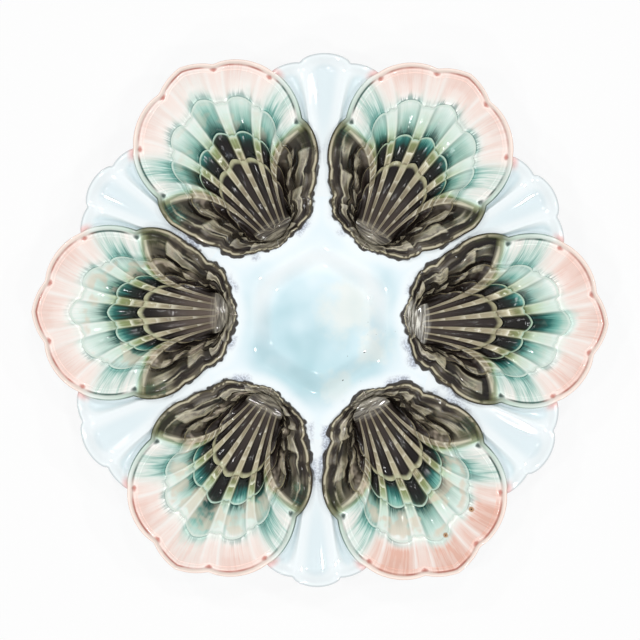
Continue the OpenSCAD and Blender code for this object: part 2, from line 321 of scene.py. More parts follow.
def rolled_edge(k, u, edge, across):
    """The edge's relief, and the mark of the pits at its notches."""
    side = np.abs(u)
    bead_at = bead_inset + bead_wander * mottle(u * 4, 0 * u, 71 + k)
    groove = hump(edge, bead_at + groove_gap, groove_half)
    pit = hump(across, 0.5, 0.08) * hump(edge, pit_inset, pit_half) * (side < 3.6) * (side > 0.2)
    rolled = bead_h * hump(edge, bead_at, bead_half) - groove_depth * groove - pit_depth * pit
    return rolled - rounding(edge, edge_drop, edge_round), pit


def shell_surface(k):
    """Points of one shell's upper side, row by row, with the marks that its glaze follows."""
    rows = np.concatenate([bunch_rows, layer_rows, 4 + band_rows])
    u = np.broadcast_to(shell_columns, (len(rows), len(shell_columns)))
    v = rows[:, None] + 0 * u
    side = np.abs(u)
    ribbed = ribbed_share(u)
    # Past the last rib the ears begin.
    ear = ease((side - ears_start) / ears_fade)
    # Each rib has the same share of its flute's width all along one growth layer.
    rib_half = np.interp(v, *rib_half_shares)
    # The outermost ribs are broad, like a flight of boxes along the ears.
    outermost = hump(side, outermost_rib, outermost_w)
    rib_half = mix(rib_half, outermost_half_share, outermost * ease((v - 0.5) / 0.6))
    across = np.abs(side - np.round(side))
    flute_half = 0.5 - rib_half
    in_flute = np.clip(across / flute_half, 0, 1)
    in_rib = np.clip((0.5 - across) / rib_half, 0, 1)
    rib = ease((across - flute_half + 0.03) / 0.06) * (1 - ear)
    flute_lobe = np.sqrt(1 - np.clip(across / (flute_half + 0.08), 0, 1) ** 2)
    lobes = np.maximum(flute_lobe, 0.35 * np.sqrt(1 - in_rib**2))
    full = reach(k, u)
    inner = 1 - np.minimum(edge_band, full * 0.6) / full
    crest = (outline(u, 2) * shell_l + lobe_swell * ribbed) / full
    scallop = mix(1, np.minimum(crest, 1.2), ribbed) * (1 - mix(*scallop_shares, ribbed) * (1 - lobes))
    ends = np.stack([0 * u] + [inner * e * scallop for e in layer_ends] + [inner, 1 + 0 * u])
    start = np.clip(np.floor(v - 1e-9), 0, 4).astype(int)
    low = np.take_along_axis(ends, start[None], axis=0)[0]
    high = np.take_along_axis(ends, start[None] + 1, axis=0)[0]
    p = np.clip(v - start, 0, 1)
    f = mix(low, high, p)
    plan = shell_plan(k, u, f)
    bunch_middle = plan[len(bunch_rows)].mean(axis=0)
    plan = bunch_middle + (plan - bunch_middle) * np.clip(1 + v, 0, 1)[..., None]
    x, y = plan[..., 0] * 1000, plan[..., 1] * 1000
    edge = (1 - f) * full
    # Growth layers: each rises towards its end, has a fine bead there, and drops to the next.
    past_layer = (start >= 1) & (start <= 3)
    drop = np.where(past_layer, np.clip(1 - p / 0.07, 0, 1), 0)
    rise = np.where(start < 3, np.where(start == 0, p**2, p**1.2), 0.25 * p * (start == 3))
    layer = layer_step * np.maximum(rise, drop)
    layer += layer_bead_h * hump(p, 1, 0.05) * (start < 3)
    layer -= layer_foot_depth * hump(p, 0.12, 0.05) * past_layer
    # Tiles step down along the ribs, at a slightly different place on each.
    own = 0.05 * mottle(np.round(side + 0.5) * 1.7 + 9 + 30 * (u > 0), 0 * v + 3, 5 + k)
    tile = np.zeros_like(v)
    for a, b in zip([0.0] + tile_ends[:-1], tile_ends):
        a = a + own * (0 < a < 1)
        b = b + own * (b < 1)
        tile = np.where((v >= a) & (v < b), ((v - a) / (b - a)) ** 2, tile)
    boxes = ((boxes_each * v + 6 * own) % 1) ** 1.5 * ease((v - 0.6) / 0.3) * ease((3.6 - v) / 0.5)
    tile = mix(tile, boxes, ease((outermost - 0.4) / 0.2))
    fade = ease(f / 0.05) * np.clip((1 - f) / 0.10, 0, 1)
    size = mix(0.55, 1, ease(f / 0.5))
    ribs = -flute_depth * (1 - in_flute**2) * (1 - rib) + rib * (rib_h + rib_crown_h * (1 - in_rib**2))
    relief = fade * (size * ribs + (tile_h + tile_h * outermost) * rib * tile) * (1 - ear)
    # A lip with fine threads closes the back.
    lip = np.maximum(ease((side - lip_start) / lip_fade), ease(1 - f / 0.05) * (v < 0.3))
    blocks, block_tile, block_foot_shade, keen_and_highlight, band = ear_folds(k, u, v, edge)
    ear_rise = ear_block_h * blocks * (0.35 + 0.65 * block_tile) + ear_band_h * band
    ear_rise += ear_swell_h * mottle(x / ear_swell_mm, y / ear_swell_mm, 51 + k)
    ear_rise += ear_grit_h * mottle(x / ear_grit_mm, y / ear_grit_mm, 61 + k)
    depth = np.clip(f / 0.2, 0, 1) * np.clip((1 - f) / 0.08, 0, 1) * ear * (1 - lip)
    relief = relief * (1 - 0.75 * lip) + (ear_rise - ear_sink) * depth
    # Pale lines along the ribs' crests and the blocks, partly painted highlight.
    keen_and_highlight = np.maximum(keen_and_highlight * ear * (1 - lip), 0.9 * hump(in_rib, 0.82, 0.16) * rib)
    raised = np.maximum(rib, ear * np.maximum(0.45 * blocks, 0.4 * band))
    # Thin dark lines lie at the foot of the ribs and blocks: partly pooled glaze, partly painted shade.
    foot = hump(in_flute, 0.97, 0.12) * (1 - rib) * (1 - ear) * ease(f / 0.1) + ear * block_foot_shade
    tile = np.where(ear > 0.5, 0.6 * block_tile, tile * rib)
    relief += layer * mix(0.25, 1, ribbed)
    behind = (plan - hinge_at(k)) @ turned(1, shell_axis(k)) * 1000
    aside = (plan - hinge_at(k)) @ turned(1, shell_axis(k) + 90) * 1000
    threads = np.sin(2 * np.pi * (behind / thread_pitch_mm + 0.5 * mottle(x / 3, y / 3, 91 + k)))
    relief += thread_h * threads * lip * mix(0.3, 1, ease((side - 4) / 1) * (v > 0))
    rolled, pit = rolled_edge(k, u, edge, across)
    relief = relief + rolled
    before_edge = np.clip((1 - f) / 0.06, 0, 1) * (start < 4)
    return plan, {
        "rib": u, "layer": np.where(start > 3, 4, v), "height": relief * 1000, "raised": raised,
        "inset": edge * 1000, "pit": pit, "lip": lip, "tile": tile, "behind": behind,
        "aside": aside, "relief": relief, "f": f, "ear": ear_share(u, f),
        "foot": foot * before_edge, "keen_and_highlight": keen_and_highlight * before_edge,
        "own": mottle(np.round(u) * 1.7 + 3, 0 * v + 5, 41 + k), "edge_z": edge_level(k, u) + shell_rise(u),
        "low_z": floor_z + 0 * u, "start_z": hinge_z + 0 * u, "beneath": 0 * u,
    }


under_rows = np.concatenate([[1.0, 0.985], np.linspace(0.96, 0.0, 26)])


def shell_underside(k):
    """The lower side follows the hollow, with the ribs showing faintly through the wall."""
    u = np.broadcast_to(shell_columns, (len(under_rows), len(shell_columns)))
    f = under_rows[:, None] + 0 * u
    level = edge_level(k, u) - wall + shell_stand * np.clip(1 - np.abs(u) / fan_rib, 0, 1)
    relief = under_rib_h * ribbed_share(u) * (1 - np.cos(2 * np.pi * u)) / 2
    relief = relief * np.clip((1 - f) * 5, 0, 1) * f
    return shell_plan(k, u, f), {
        "relief": relief + under_edge_h * (f > 0.99), "f": f, "ear": ear_share(u, f), "edge_z": level,
        "low_z": foot_h - belly_flat + 0 * u, "start_z": hinge_z - wall + 0 * u, "beneath": 1 + 0 * u,
    }


def closed_piece(name, top, under):
    """Joins an upper and a lower side, each a plan with its marks, into one closed mesh."""
    plan = np.concatenate([top[0], under[0]])
    rows, columns = plan.shape[:2]
    middle, first, last = rows * columns, np.arange(columns), np.arange(columns) + (rows - 1) * columns
    faces = quads(rows, columns, closed=True).tolist()
    faces += [(middle, i, (i + 1) % columns) for i in range(columns)]
    faces += [(middle + 1, last[(i + 1) % columns], last[i]) for i in range(columns)]
    marks = {}
    for mark, values in top[1].items():
        below = under[1].get(mark, np.broadcast_to(values[-1], (len(under_rows), columns)))
        ends = [values[0].mean(), below[-1].mean()]
        marks[mark] = np.concatenate([values.ravel(), below.ravel(), ends])
    flat = np.concatenate([plan.reshape(-1, 2), [plan[0].mean(axis=0), plan[-1].mean(axis=0)]])
    return new_piece(name, np.c_[flat, 0 * flat[:, 0]].tolist(), faces, marks)


shell_pieces = []
for k in range(shells):
    piece = closed_piece(f"shell_{k + 1}", shell_surface(k), shell_underside(k))
    shell_pieces.append(piece)


def sign(operation, turned_round=False):
    """A sum's sign that puts a maths node into the tree."""

    def made(self, other=0):
        first, second = (other, self) if turned_round else (self, other)
        return self.rule.math(operation, first, second)

    return made


class Wire:
    """A node's socket that takes part in sums as a number does."""

    __add__, __radd__ = sign("ADD"), sign("ADD", True)
    __sub__, __rsub__ = sign("SUBTRACT"), sign("SUBTRACT", True)
    __mul__, __rmul__ = sign("MULTIPLY"), sign("MULTIPLY", True)
    __truediv__, __pow__, __abs__ = sign("DIVIDE"), sign("POWER"), sign("ABSOLUTE")

    def __init__(self, rule, socket):
        self.rule = rule
        self.socket = socket


class Rule:
    """A node tree that is written as expressions."""

    def node(self, kind, settings, inputs, output=0):
        made = self.tree.nodes.new(kind)
        for name, value in settings.items():
            setattr(made, name, value)
        for name, value in inputs.items():
            if isinstance(value, Wire):
                self.tree.links.new(value.socket, made.inputs[name])
            else:
                made.inputs[name].default_value = value
        return Wire(self, made.outputs[output])

    def math(self, operation, first, second):
        return self.node("ShaderNodeMath", {"operation": operation}, {0: first, 1: second})

    def step(self, value, low, high):
        """0 up to the low value and 1 from the high value on, with a soft change between."""
        limits = {"Value": value, "From Min": low, "From Max": high}
        return self.node("ShaderNodeMapRange", {"interpolation_type": "SMOOTHSTEP"}, limits)

    def mix(self, first, second, share):
        return first + (second - first) * share

    def vector(self, x, y, z):
        return self.node("ShaderNodeCombineXYZ", {}, {"X": x, "Y": y, "Z": z})

    def part(self, vector, axis):
        return self.node("ShaderNodeSeparateXYZ", {}, {"Vector": vector}, axis)


class Shape(Rule):
    """Geometry nodes with named sizes, run once on a piece and then taken off it."""

    def __init__(self, name):
        self.tree = bpy.data.node_groups.new(name, "GeometryNodeTree")
        face = self.tree.interface
        face.new_socket("Mesh", in_out="OUTPUT", socket_type="NodeSocketGeometry")
        face.new_socket("Mesh", in_out="INPUT", socket_type="NodeSocketGeometry")
        self.glaze = face.new_socket("Glaze", in_out="INPUT", socket_type="NodeSocketMaterial")
        self.source = self.tree.nodes.new("NodeGroupInput")
        self.sizes = {}

    def given(self, name):
        return Wire(self, self.source.outputs[name])

    def size(self, name, value):
        made = self.tree.interface.new_socket(name, in_out="INPUT", socket_type="NodeSocketFloat")
        self.sizes[made.identifier] = value
        return self.given(name)

    def mark(self, name):
        return self.node("GeometryNodeInputNamedAttribute", {"data_type": "FLOAT"}, {"Name": name})

    def place(self):
        return self.node("GeometryNodeInputPosition", {}, {})

    def end(self, mesh, place):
        """Moves the mesh's points to their place and gives it its glaze."""
        moved = self.node("GeometryNodeSetPosition", {}, {"Geometry": mesh, "Position": place})
        joined = self.node("GeometryNodeMergeByDistance", {}, {"Geometry": moved, "Distance": 1e-6})
        real = self.node("GeometryNodeRealizeInstances", {}, {"Geometry": joined})
        wires = {"Geometry": real, "Material": self.given("Glaze")}
        painted = self.node("GeometryNodeSetMaterial", {}, wires)
        self.tree.links.new(painted.socket, self.tree.nodes.new("NodeGroupOutput").inputs[0])

    def run(self, piece, glaze):
        modifier = piece.modifiers.new(self.tree.name, "NODES")
        modifier.node_group = self.tree
        for identifier, value in self.sizes.items():
            modifier[identifier] = value
        modifier[self.glaze.identifier] = glaze
        seen = piece.evaluated_get(bpy.context.evaluated_depsgraph_get())
        mesh = bpy.data.meshes.new_from_object(seen)
        piece.modifiers.remove(modifier)
        piece.data = mesh
        smoothed(mesh)


def paint(red, green, blue):
    """An sRGB colour of 0 to 255 as Blender's linear colour."""
    shares = [c / 255 for c in (red, green, blue)]
    linear = [c / 12.92 if c <= 0.04 else ((c + 0.055) / 1.055) ** 2.4 for c in shares]
    return (*linear, 1.0)


class Glaze(Rule):
    """A material whose colour, gloss and fine relief are written as expressions."""

    def __init__(self, name):
        self.material = bpy.data.materials.new(name)
        self.material.use_nodes = True
        self.tree = self.material.node_tree
        self.shader = self.tree.nodes["Principled BSDF"]

    def mark(self, name):
        return self.node("ShaderNodeAttribute", {"attribute_name": name}, {}, "Fac")

    def place(self):
        return self.node("ShaderNodeTexCoord", {}, {}, "Object")

    def spot(self, value, middle, width):
        """1 where the value is near the middle, fading to 0 at a width either side."""
        return self.step(abs(value - middle), width, 0)

    def blend(self, first, second, share):
        """Mixes two colours, each given as sRGB numbers or as the colour of a node."""
        first, second = [c if isinstance(c, Wire) else paint(*c) for c in (first, second)]
        return self.node("ShaderNodeMix", {"data_type": "RGBA"}, {0: share, 6: first, 7: second}, 2)

    def ramp(self, value, stops):
        made = self.node("ShaderNodeValToRGB", {}, {"Fac": value})
        ramp = made.socket.node.color_ramp
        while len(ramp.elements) < len(stops):
            ramp.elements.new(1.0)
        for element, (position, *colour) in zip(ramp.elements, stops):
            element.position = position
            element.color = paint(*colour)
        return made

    def noise(self, vector, scale, detail=2.0):
        inputs = {"Vector": vector, "Scale": scale, "Detail": detail}
        return self.node("ShaderNodeTexNoise", {}, inputs, "Fac")

    def lay(self, colour, share):
        """Lays a further glaze over a share of the colour so far."""
        self.colour = self.blend(self.colour, colour, share)

    def finish(self, roughness, height, distance, coat):
        bump = self.node("ShaderNodeBump", {}, {"Height": height, "Strength": 1.0, "Distance": distance})
        wires = {"Coat Weight": coat, "Base Color": self.colour, "Roughness": roughness, "Normal": bump}
        for name, wire in wires.items():
            self.tree.links.new(wire.socket, self.shader.inputs[name])
        plain = {"IOR": 1.5, "Specular IOR Level": 0.22, "Coat Roughness": 0.03, "Coat IOR": 1.7}
        for name, value in plain.items():
            self.shader.inputs[name].default_value = value
        return self.material


# How the glaze differs from shell to shell. How many growth layers further out the brown runs, and
# how strong the pink streaks at the rim are:
brown_extra = [0.45, 0.36, 0.20, 0.15, 0.15, 0.15]
pink_share = [0.8, 0.5, 0.2, 0.5, 0.6, 1.7]
# How much more colour the outer flutes hold than the ribs, and how strong the last pools with their painted
# shadow are:
teal_share = [1.0, 0.85, 0.8, 0.5, 0.8, 0.5]
rim_teal = [0.15, 0.75, 0.6, 0.25, 0.45, 0.2]
# How grey-brown the flutes and the ribs are near the hinge:
hinge_share = [0.2, 0.25, 0.0, 0.8, 0.2, 0.15]
rib_brown = [0.0, 0.5, 0.5, 0.5, 0.2, 0.25]
# How pale the lip and the worn folds are, partly with painted highlights, and how much beige shows through
# the third layer:
lip_pale_and_highlight = [1.0, 0.3, 0.2, 0.4, 0.3, 0.5]
beige_share = [0.15, 0.1, 0.3, 0.6, 0.6, 0.7]
glaze_ripple = 0.00014
# Two small rust-brown flecks that one shell has in its glaze.
fleck_shell = 5
flecks = [(0.0683, -0.0854, 0), (0.0567, -0.0970, 0)]


class ShellGlaze(Glaze):
    """One shell's glaze, with the marks and the noise that its colours follow."""

    def __init__(self, k):
        super().__init__(f"shell_glaze_{k + 1}")
        self.k = k
        self.at = self.place()
        self.rib, self.layer, self.height = self.mark("rib"), self.mark("layer"), self.mark("height")
        self.raised, self.inset, self.lip = self.mark("raised"), self.mark("inset"), self.mark("lip")
        self.side = abs(self.rib)
        self.cloud = self.noise(self.at, 70)
        self.fine = self.noise(self.at, 420, 3.0)
        ray = self.strands(self.rib * 11.0, self.layer * 0.7, 5.3, 3.0)
        hair = self.strands(self.rib * 34.0, self.layer * 1.1, 3.1, 2.0)
        self.streak = 0.55 * ray + 0.45 * hair
        # The brown runs furthest out at the sides, so the colours are read further in there.
        shift = 0.30 * self.step(self.side, 1.4, 1.8) + 2.5 * self.step(self.side, 2.35, 2.7)
        shift = shift + 1.6 * self.step(self.side, 3.1, 3.6)
        shift = shift + brown_extra[k] * self.step(self.layer, 3.2, 2.6)
        self.tone = (self.layer - shift + 0.8 * (self.cloud - 0.5) + 0.9 * (self.streak - 0.5)) / 4

    def strands(self, across, along, shell_step, detail):
        """Noise drawn out in strands, and different on each shell."""
        return self.noise(self.vector(across, along, self.k * shell_step), 1.0, detail)


def layer_colours(g):
    """Brown at the hinge, then teal and mint over the layers and pink at the rim."""
    side, layer, raised, tone = g.side, g.layer, g.raised, g.tone
    flute = g.ramp(tone + 0.11 * g.mark("own"), [
        (0.0, 46, 38, 35), (0.12, 26, 20, 18), (0.26, 15, 11, 9), (0.35, 22, 38, 33),
        (0.42, 38, 104, 98), (0.48, 112, 174, 163), (0.55, 168, 208, 197),
        (0.64, 206, 228, 219), (0.73, 226, 240, 234), (0.79, 250, 252, 248),
        (0.87, 255, 249, 244), (0.96, 255, 241, 235), (1.0, 254, 232, 224),
    ])
    crest = g.ramp(tone, [
        (0.0, 146, 136, 112), (0.10, 164, 154, 128), (0.22, 186, 178, 146),
        (0.28, 122, 124, 84), (0.38, 136, 148, 100), (0.46, 188, 208, 176),
        (0.54, 208, 228, 214), (0.66, 228, 243, 235), (0.86, 253, 247, 242),
        (1.0, 253, 238, 231),
    ])
    even = (1 - teal_share[g.k]) * g.step(layer, 1.7, 2.3) * 0.7
    g.colour = g.blend(flute, crest, raised + (1 - raised) * even)
    among_ribs = g.step(side, 3.0, 2.4)
    hinge_wash = g.step(layer, 0.9, 0.1) * (1 - 0.5 * raised) * among_ribs
    g.lay((112, 99, 90), hinge_wash * hinge_share[g.k])
    g.lay((92, 79, 62), g.step(layer, 1.0, 0.6) * raised * among_ribs * rib_brown[g.k])
    pale_tile = g.ramp(tone, [
        (0.0, 246, 242, 222), (0.25, 250, 247, 230), (0.5, 232, 242, 218),
    ])
    tile = g.step(g.mark("tile"), 0.35, 0.95) * g.step(tone, 0.6, 0.5)
    g.lay(pale_tile, tile * (0.4 + 0.35 * g.step(layer, 0.8, 1.2)))


def run_colours(g):
    """What runs over the layers: dark pools with painted shadow, pink streaks, bare clay, and pale lines
    that are partly painted highlights.
    """
    side, layer, raised, tone, streak = g.side, g.layer, g.raised, g.tone, g.streak
    # Glaze pools in streaks just outside the end of each growth layer; their dark is partly painted shadow
    # below the layer's step.
    past = layer - g.math("FLOOR", layer, 0)
    length = 0.05 + 0.46 * g.step(streak, 0.38, 0.62)
    beyond = g.step(layer, 0.98, 1.02) * g.step(layer, 3.99, 3.9)
    last_layer = rim_teal[g.k] + (0.8 - rim_teal[g.k]) * g.step(side, 0.7, 1.5)
    beyond = beyond * g.mix(1, last_layer, g.step(layer, 2.98, 3.02))
    pooled_and_shadow = g.step(past / length, 1.0, 0.05) * beyond
    pool_and_shadow_colour = g.ramp(tone, [
        (0.0, 20, 15, 13), (0.33, 18, 28, 24), (0.43, 14, 58, 54), (0.70, 20, 88, 84),
        (0.86, 76, 146, 138), (1.0, 206, 208, 198),
    ])
    g.lay(pool_and_shadow_colour, pooled_and_shadow * (0.95 - 0.55 * raised))
    # Pink streaks run in from the rim.
    blush = (0.4 + 0.4 * g.step(streak, 0.42, 0.64)) * g.step(layer, 3.1, 3.45) * g.step(side, 1.8, 1.5)
    g.lay((234, 188, 171), blush * (pink_share[g.k] * (1 - 0.45 * raised)))
    # Painted shade, with some pooled glaze, darkens the foot of each rib and block.
    foot_glaze_and_shade_colour = g.ramp(tone, [
        (0.0, 16, 12, 9), (0.36, 14, 24, 20), (0.48, 20, 76, 72), (0.62, 64, 128, 120),
        (0.76, 150, 198, 188), (0.86, 244, 222, 212),
    ])
    g.lay(foot_glaze_and_shade_colour, g.mark("foot") * 0.85)
    # Here and there the clay shows beige through the third layer.
    beige = g.step(g.noise(g.at, 130), 0.48, 0.62) * g.step(layer, 1.9, 2.2) * g.step(layer, 3.0, 2.8)
    g.lay((222, 206, 186), beige * beige_share[g.k])
    # A pale line along each crest is partly glaze thinned there and partly a painted highlight.
    keen_and_highlight_colour = g.ramp(tone, [
        (0.0, 214, 206, 178), (0.24, 232, 226, 200), (0.34, 196, 200, 162),
        (0.46, 226, 240, 224), (0.70, 250, 253, 250), (1.0, 255, 250, 246),
    ])
    g.lay(keen_and_highlight_colour, g.mark("keen_and_highlight") * (0.4 + 0.55 * g.step(g.cloud, 0.36, 0.56)))
    # The outer lobes stay teal up to the edge.
    outer = g.step(layer, 2.6, 3.2) * g.step(side + 0.6 * (streak - 0.5), 1.4, 1.85)
    outer = outer * g.step(side, 2.75, 2.5)
    wash = g.ramp(streak + 0.24 * (layer - 3.3), [
        (0.36, 44, 122, 114), (0.48, 126, 184, 174), (0.60, 198, 225, 216),
        (0.70, 232, 244, 239),
    ])
    g.lay(wash, outer * (0.85 - 0.45 * raised))
    # A thin pale line where the glaze has run off the end of a layer is partly a painted highlight on the
    # step's edge.
    line_and_highlight_colour = g.ramp(tone, [
        (0.0, 128, 118, 92), (0.20, 182, 180, 146), (0.34, 178, 204, 176),
        (0.50, 208, 234, 222), (1.0, 242, 245, 238),
    ])
    g.lay(line_and_highlight_colour, g.step(past, 0.915, 0.97) * g.step(layer, 3.2, 3.0) * 0.9)
    # Hollows hold more glaze.
    g.lay(pool_and_shadow_colour, g.step(g.height, 0.0, -1.0) * g.step(tone, 0.72, 0.60) * 0.30)


def ear_colours(g):
    """Worn folds that are partly painted highlight, painted shade in the ears' hollows, and the lip behind
    the hinge.
    """
    side, height, raised, lip = g.side, g.height, g.raised, g.lip
    # Raised folds are paler: partly worn glaze, partly painted highlight.
    worn_and_highlight = g.step(height, 0.30, 0.8) * g.step(side, 2.7, 3.3) * g.step(g.fine, 0.35, 0.6)
    bright = lip_pale_and_highlight[g.k]
    g.lay((190, 181, 153), worn_and_highlight * (0.4 + 0.6 * bright))
    # Painted shade darkens the ears' hollows.
    sunk_shade = g.step(height, 0.15, -0.45) * g.step(side, 2.7, 3.2) * (1 - lip)
    g.lay((20, 15, 12), sunk_shade * 0.8)
    # The lip is a thin grey-olive glaze over fine threads; its pale thread lines are partly painted
    # highlights.
    thread = g.strands(g.mark("behind") * 1.1, g.mark("aside") * 0.13, 2.3, 3.0)
    lip_colour = g.ramp(thread, [
        (0.34, 48, 42, 35), (0.46, 84 + 50 * bright, 77 + 52 * bright, 62 + 52 * bright),
        (0.57, 116 + 128 * bright, 108 + 134 * bright, 88 + 144 * bright),
    ])
    g.lay(lip_colour, lip * (0.45 + 0.45 * g.step(side, 4.5, 5.5)))
    grain = g.strands(g.inset * 2.0, g.rib * 1.6, 4.7, 3.0)
    grainy = g.step(side, 2.8, 3.2) * g.step(g.inset, 0.8, 1.4) * g.step(grain, 0.54, 0.34)
    g.lay((50, 43, 33), grainy * (0.25 + 0.35 * raised))


def edge_colours(g):
    """The rolled edge: pink outside the middle lobes, mint beside them and brown round the ears."""
    side, inset, cloud = g.side, g.inset, g.cloud
    groove_colour = g.ramp(side / 7, [
        (0.22, 198, 128, 116), (0.26, 24, 84, 76), (0.34, 20, 62, 54),
        (0.40, 34, 28, 22), (1.0, 44, 36, 30),
    ])
    bead_colour = g.ramp(side / 7, [
        (0.21, 255, 238, 228), (0.25, 238, 246, 241), (0.34, 205, 224, 212),
        (0.38, 112, 116, 84), (0.46, 84, 76, 54), (1.0, 82, 74, 56),
    ])
    edge_run = g.noise(g.vector(g.rib * 5.0, g.k * 7.1, inset * 0.5), 1.0, 4.0)
    brown = g.step(side, 2.6, 3.2)
    g.lay(bead_colour, g.step(inset + brown * (0.5 + 2.2 * (edge_run - 0.5)), 1.9, 1.3))
    # Round the ears a dark band runs between two pale lines: a worn one inside, and one on the edge's bead
    # that is partly worn glaze and partly painted highlight.
    wavy = inset + 1.8 * (edge_run - 0.5)
    g.lay((36, 28, 26), brown * g.spot(wavy, 2.3, 1.2) * (1 - g.lip) * 0.65)
    inner_line = brown * g.spot(wavy, 3.8, 0.5) * (1 - g.lip) * g.step(cloud, 0.40, 0.54)
    g.lay((206, 199, 172), inner_line * 0.8)
    # The pale line on the edge's bead is partly painted highlight.
    g.lay((202, 194, 166), brown * g.spot(inset, 0.8, 0.55) * g.step(edge_run, 0.60, 0.48) * 0.9)
    # The groove's line is strong along each lobe, and lets up beside the notches.
    from_lobe = abs(g.math("FRACT", side + 0.5, 0) - 0.5)
    groove = g.spot(inset, 2.0, 0.6) * (1 - brown) * g.step(from_lobe, 0.46, 0.26)
    g.lay(groove_colour, groove * (0.35 + 0.6 * g.step(cloud, 0.40, 0.58)))
    outline_colour = g.ramp(side / 7, [
        (0.22, 236, 208, 194), (0.27, 96, 138, 128), (0.34, 34, 66, 58),
        (0.40, 40, 33, 28), (1.0, 44, 36, 30),
    ])
    g.lay(outline_colour, g.step(inset, 0.6, 0.25) * (0.45 + 0.4 * g.step(cloud, 0.62, 0.45)))
    g.lay(groove_colour, g.step(g.mark("pit"), 0.35, 0.9) * 0.9)


def shell_glaze(k):
    g = ShellGlaze(k)
    layer_colours(g)
    run_colours(g)
    ear_colours(g)
    edge_colours(g)
    if k == fleck_shell:
        flat = g.vector(g.part(g.at, "X"), g.part(g.at, "Y"), 0)
        for fleck in flecks:
            away = g.node("ShaderNodeVectorMath", {"operation": "DISTANCE"}, {0: flat, 1: fleck}, 1)
            g.lay((178, 122, 66), g.step(away, 0.0015, 0.0008) * 0.85)
            g.lay((60, 40, 26), g.step(away, 0.0005, 0.0002))
    # Beneath, the ware has one coat of the pale ground glaze.
    g.lay((214, 232, 236), g.mark("beneath"))
    ripple = g.mix(g.strands(g.rib * 22.0, g.layer * 1.3, 1.9, 2.0), g.fine, g.lip)
    # The clear glaze lies thickest, like drops, on the folds of the ears and the crests.
    drops = g.step(g.height, 0.0, 0.5) * g.step(g.side, 2.3, 2.9)
    coat = g.math("MAXIMUM", drops, g.mark("keen_and_highlight") * 0.7)
    coat = g.math("MAXIMUM", coat, g.lip * lip_pale_and_highlight[k])
    roughness = 0.05 + 0.08 * g.step(g.cloud, 0.4, 0.8)
    return g.finish(roughness, ripple * 0.6 + g.fine * 0.4, glaze_ripple, coat)


# The wells' form: the marks say how far out each point is, and the rule gives its height.
hollow = Shape("shell_hollow")
far_out, start_z, low_z = hollow.mark("f"), hollow.mark("start_z"), hollow.mark("low_z")
belly = hollow.size("Belly share", belly_share)
steepness = hollow.size("Wall power", wall_power)
clear = hollow.size("Least height", foot_h)
before = hollow.math("MAXIMUM", 1 - far_out / belly, 0)
after = hollow.math("MAXIMUM", far_out - belly, 0) / (1 - belly)
bowl_z = low_z + (start_z - low_z) * before**2 + (hollow.mark("edge_z") - low_z) * after**steepness
ear_z = hollow.mix(start_z, hollow.mark("edge_z"), far_out)
well_z = hollow.mix(bowl_z, ear_z, hollow.mark("ear")) + hollow.mark("relief")
well_z = hollow.math("MAXIMUM", well_z, clear)
plan_x, plan_y = [hollow.part(hollow.place(), axis) for axis in ("X", "Y")]
hollow.end(hollow.given("Mesh"), hollow.vector(plan_x, plan_y, well_z))
for k, piece in enumerate(shell_pieces):
    hollow.run(piece, shell_glaze(k))
    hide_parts(f"shell_well_{k + 1}")
    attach(piece, "root")

# Centre dish
# The plain middle of the plate: a shallow six-sided dish for the sauce, with its sides behind the
# hinges and an arm of the ground running out between each two shells. Same clay, pressed smooth.
dish_r = 0.031
dish_depth = 0.0055
dish_floor_share = 0.68
# Six sides: a sum of six high powers has the shape of a hexagon with soft corners.
hexagon_power, hexagon_scale = 14, 40
# The ground's rows start and end a little inside the shells' edges.
tuck = 0.985
ground_ripple = 0.00010
cross_columns = 24


def near_shells(plan):
    """Distance in mm to the nearest shell's edge, and that edge's rib coordinate without its sign."""
    best, rib = np.full(len(plan), 1e9), np.zeros(len(plan))
    u = np.arange(-back_rib, back_rib, 0.05)
    for k in range(shells):
        edge = shell_plan(k, u, 1.0)
        gap = np.linalg.norm(plan[:, None] - edge[None], axis=-1)
        nearest = gap.argmin(axis=1)
        distance = gap[np.arange(len(plan)), nearest]
        rib = np.where(distance < best, np.abs(u[nearest]), rib)
        best = np.minimum(best, distance)
    return best * 1000, rib


def cross_row(k, u, columns):
    """A row across the ground from the edge of one shell to the edge of the next."""
    left = shell_plan(k, np.array([u]), tuck)[0]
    right = shell_plan(k + 1, np.array([-u]), tuck)[0]
    return mix(left, right, np.linspace(0, 1, columns + 1)[:, None])


def ground_piece(name, plan, faces, marks, under_lift):
    """A slab whose points lie twice at each place: first on the upper side, then below."""
    _, kept, index = np.unique(np.round(plan * 1e7), axis=0, return_index=True, return_inverse=True)
    plan, faces, under_lift = plan[kept], index.ravel()[faces], under_lift[kept]
    marks = {mark: values[kept] for mark, values in marks.items()}
    a, b, c = plan[faces[:, 0]], plan[faces[:, 1]], plan[faces[:, 2]]
    turn = (b[:, 0] - a[:, 0]) * (c[:, 1] - b[:, 1]) - (b[:, 1] - a[:, 1]) * (c[:, 0] - b[:, 0])
    faces[turn < 0] = faces[turn < 0][:, ::-1]
    faces = [list(dict.fromkeys(face)) for face in faces.tolist()]
    faces = [face for face in faces if len(face) > 2]
    sides = {(face[i - 1], face[i]) for face in faces for i in range(len(face))}
    rim = [(p, q) for p, q in sides if (q, p) not in sides]
    count = len(plan)
    below = [[i + count for i in reversed(face)] for face in faces]
    walls = [[q, p, p + count, q + count] for p, q in rim]
    points = np.concatenate([np.c_[plan, 0 * plan[:, 0]]] * 2)
    marks = {mark: np.concatenate([values, values]) for mark, values in marks.items()}
    marks["relief"] = np.concatenate([marks["relief"][:count], under_lift])
    marks["beneath"] = np.repeat([0.0, 1.0], count)
    return new_piece(name, points.tolist(), faces + below + walls, marks)


